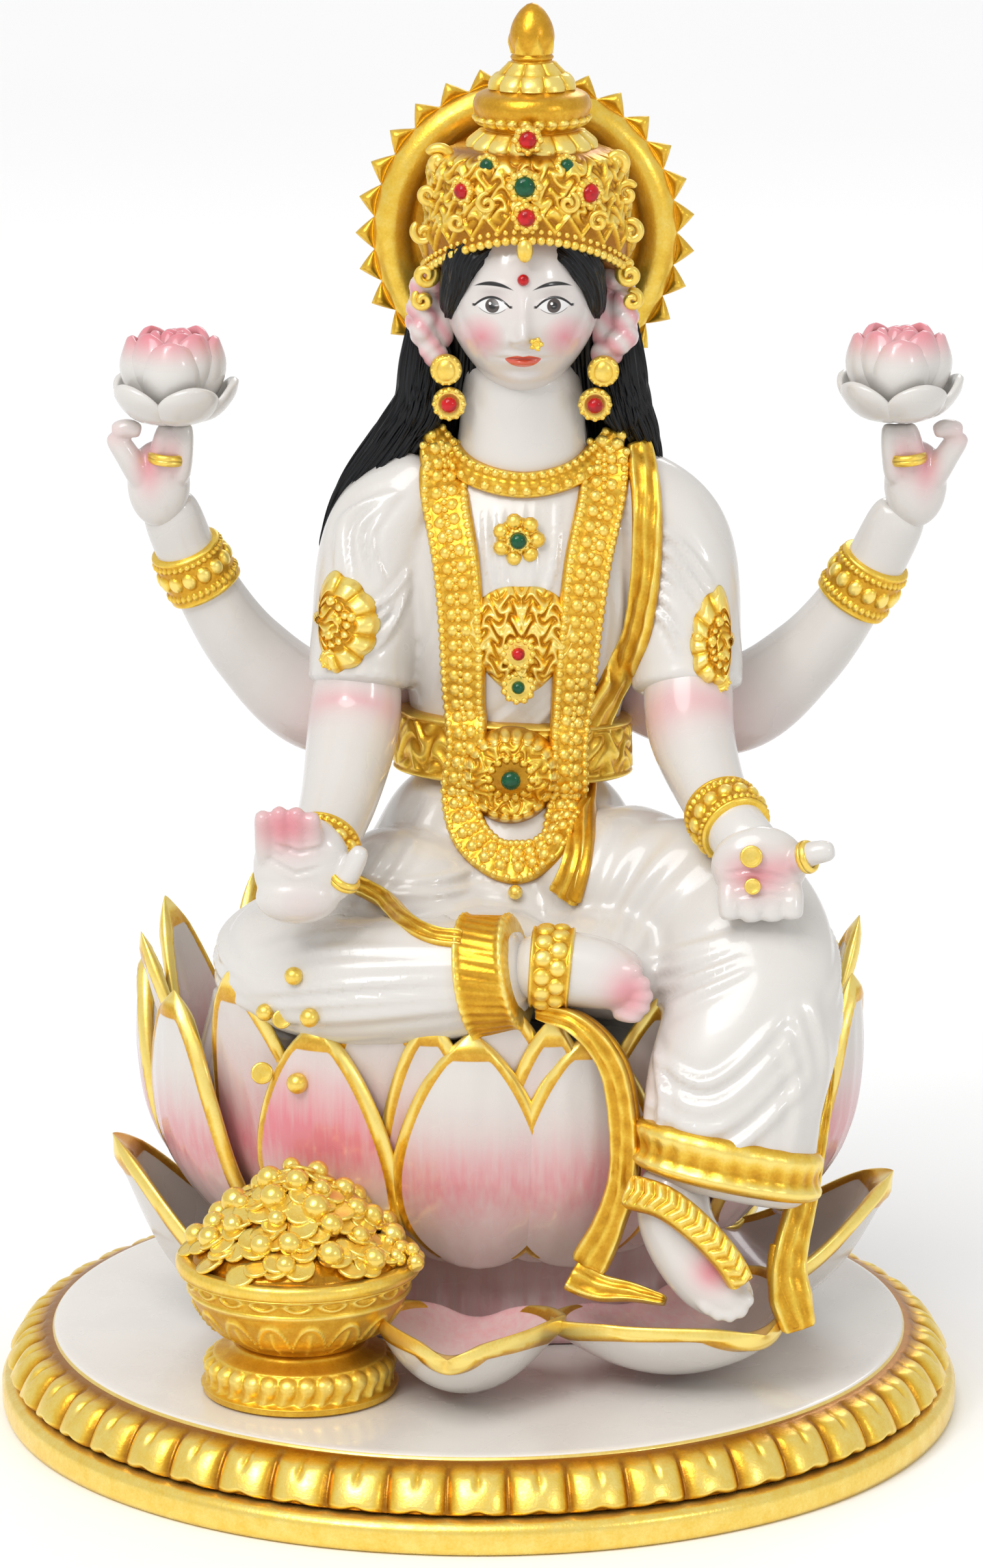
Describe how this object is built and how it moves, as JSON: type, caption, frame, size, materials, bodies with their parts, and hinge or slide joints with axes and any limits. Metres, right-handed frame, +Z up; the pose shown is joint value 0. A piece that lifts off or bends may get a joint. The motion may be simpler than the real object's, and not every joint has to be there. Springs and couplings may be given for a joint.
{
  "type": "hindu deity statue",
  "caption": "Seated four-armed deity figurine in painted cast resin on a lotus, with crown, halo, blossoms and a treasure pot on a round gilded plinth.",
  "frame": {"origin": "centre of the plinth's flat underside", "axes": "+Z up; the figure faces -Y, so +X is on the figure's left-hand side"},
  "size_m": [0.1327, 0.132, 0.1929],
  "materials": {
    "marble_resin": "glossy ivory-white cast resin with pink airbrushing",
    "gold_paint": "bright gold paint over cast relief, with a darker amber wash in the hollows",
    "petal_resin": "glossy white cast resin shaded to pink, with raised gold edges",
    "black_hair": "gloss black paint over combed strands",
    "red_gem": "glossy red enamel drop",
    "green_gem": "glossy green enamel drop"
  },
  "bodies": {
    "root": {"belt": "gold_paint", "choker": "gold_paint", "crown": "gold_paint", "crown_finial": "gold_paint", "front_cloth_edge": "gold_paint", "garland": "gold_paint", "hair": "black_hair", "halo": "gold_paint", "head": "marble_resin", "hip_drape": "marble_resin", "inner_petal_row": "petal_resin", "left_anklet": "gold_paint", "left_blossom": "petal_resin", "left_earring": "gold_paint", "left_foot": "marble_resin", "left_front_arm": "marble_resin", "left_front_bangle": "gold_paint", "left_front_hand": "marble_resin", "left_leg_hanging": "marble_resin", "left_rear_arm": "marble_resin", "left_rear_bangle": "gold_paint", "left_rear_hand": "marble_resin", "lotus_core": "petal_resin", "lower_petal_1": "petal_resin", "lower_petal_2": "petal_resin", "lower_petal_3": "petal_resin", "lower_petal_4": "petal_resin", "lower_petal_5": "petal_resin", "lower_petal_6": "petal_resin", "lower_petal_7": "petal_resin", "plinth_body": "gold_paint", "plinth_deck": "marble_resin", "plinth_foot_band": "gold_paint", "pot_bowl": "gold_paint", "pot_foot": "gold_paint", "pot_treasure_heap": "gold_paint", "right_anklet": "gold_paint", "right_blossom": "petal_resin", "right_earring": "gold_paint", "right_foot": "marble_resin", "right_front_arm": "marble_resin", "right_front_bangle": "gold_paint", "right_front_hand": "marble_resin", "right_leg_folded": "marble_resin", "right_rear_arm": "marble_resin", "right_rear_bangle": "gold_paint", "right_rear_hand": "marble_resin", "shoulder_sash": "gold_paint", "side_cloth_edge": "gold_paint", "torso": "marble_resin", "upper_petal_1": "petal_resin", "upper_petal_10": "petal_resin", "upper_petal_2": "petal_resin", "upper_petal_3": "petal_resin", "upper_petal_4": "petal_resin", "upper_petal_5": "petal_resin", "upper_petal_6": "petal_resin", "upper_petal_7": "petal_resin", "upper_petal_8": "petal_resin", "upper_petal_9": "petal_resin"}
  },
  "joints": []
}
